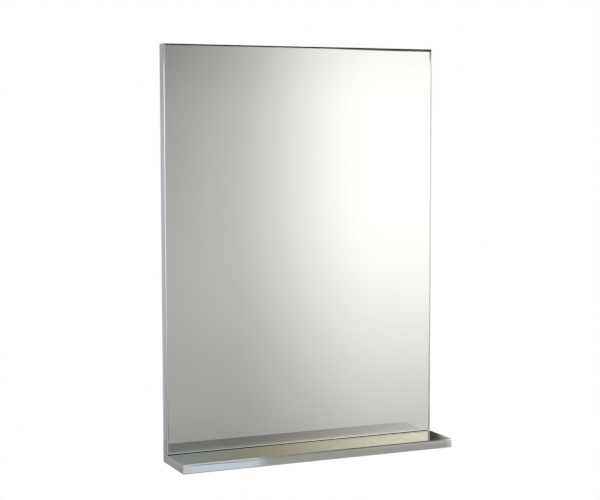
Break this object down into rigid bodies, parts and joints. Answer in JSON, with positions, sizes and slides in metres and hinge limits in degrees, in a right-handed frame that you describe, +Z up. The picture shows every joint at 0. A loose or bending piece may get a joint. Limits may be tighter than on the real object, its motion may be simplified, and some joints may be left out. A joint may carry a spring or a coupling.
{
  "type": "mirror with shelf",
  "caption": "Rectangular wall mirror in a thin hemmed steel frame on a flush folded steel shelf, hung on hook rails behind it.",
  "frame": {"origin": "midway between the two upper wall screws, in the wall plane", "axes": "+X to the right along the wall, +Y into the wall, +Z up, so the shelf reaches towards -Y"},
  "size_m": [0.5, 0.1, 0.7],
  "materials": {
    "polished_steel": "bright-polished stainless steel sheet",
    "shelf_steel": "mirror-polished stainless steel sheet",
    "plain_steel": "mill-finish stainless steel sheet",
    "zinc_steel": "galvanised steel sheet with a faint spangle",
    "fastener_steel": "bright zinc-plated steel",
    "glass": "clear float glass with polished face",
    "silvering": "silver reflecting layer with protective paint behind",
    "sealant": "grey silicone sealant",
    "foam": "closed-cell foam tape, adhesive on both sides"
  },
  "bodies": {
    "wall_rails": {"upper_wall_rail": "zinc_steel", "lower_wall_rail": "zinc_steel"},
    "mirror": {"left_stile": "polished_steel", "right_stile": "polished_steel", "top_rail": "polished_steel", "bottom_rail": "polished_steel", "corner_angles": "plain_steel", "mirror_glass": "glass", "silvering": "silvering", "edge_seal": "sealant", "foam_tapes": "foam", "back_pan": "zinc_steel", "upper_cleat": "zinc_steel", "lower_cleat": "zinc_steel", "cleat_rivets": "fastener_steel", "pan_nuts": "fastener_steel", "top_screws": "fastener_steel", "shelf_shell": "shelf_steel", "shelf_stiffener": "plain_steel", "shelf_screws": "fastener_steel"}
  },
  "joints": [
    {"name": "lift_off", "type": "slide", "parent": "wall_rails", "child": "mirror", "axis": [0, 0, 1], "range_m": [0, 0.012]}
  ]
}
